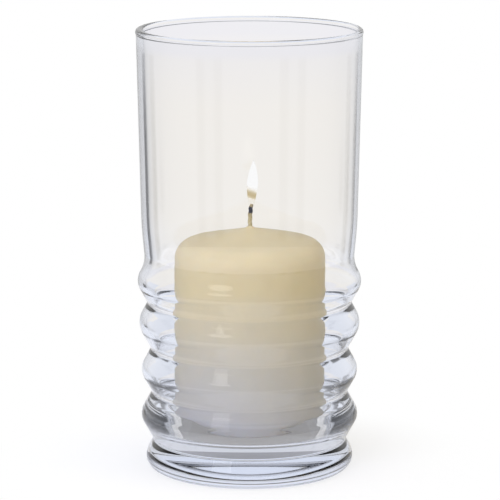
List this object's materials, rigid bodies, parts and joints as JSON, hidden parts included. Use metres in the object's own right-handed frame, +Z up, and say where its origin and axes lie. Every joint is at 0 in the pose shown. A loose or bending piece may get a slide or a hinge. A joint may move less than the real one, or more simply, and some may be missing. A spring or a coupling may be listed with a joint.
{
  "type": "hurricane candle lantern",
  "caption": "Clear ribbed glass hurricane with a thick solid foot, holding a pillar candle with its wick and tinplate sustainer; the candle lifts out through the open top.",
  "frame": {"origin": "centre of the glass foot's underside, on the surface the lantern stands on", "axes": "+Z up along the glass's axis of revolution; X and Y lie in the table, and the wick's free end leans towards +X"},
  "size_m": [0.1116, 0.1116, 0.22],
  "materials": {
    "clear_glass": "clear blown glass, fire polished rim, faint cool tint in the thick foot",
    "ivory_wax": "cast ivory paraffin wax, silky, slightly translucent",
    "waxed_cotton": "braided cotton soaked in wax, charred at the free end",
    "tinplate": "thin stamped tinplate, satin"
  },
  "bodies": {
    "glass": {"glass_hurricane": "clear_glass"},
    "candle": {"pillar_candle": "ivory_wax", "wick": "waxed_cotton", "wick_sustainer": "tinplate"}
  },
  "joints": [
    {"name": "candle_lift", "type": "slide", "parent": "glass", "child": "candle", "axis": [0, 0, 1], "range_m": [0, 0.21]}
  ]
}
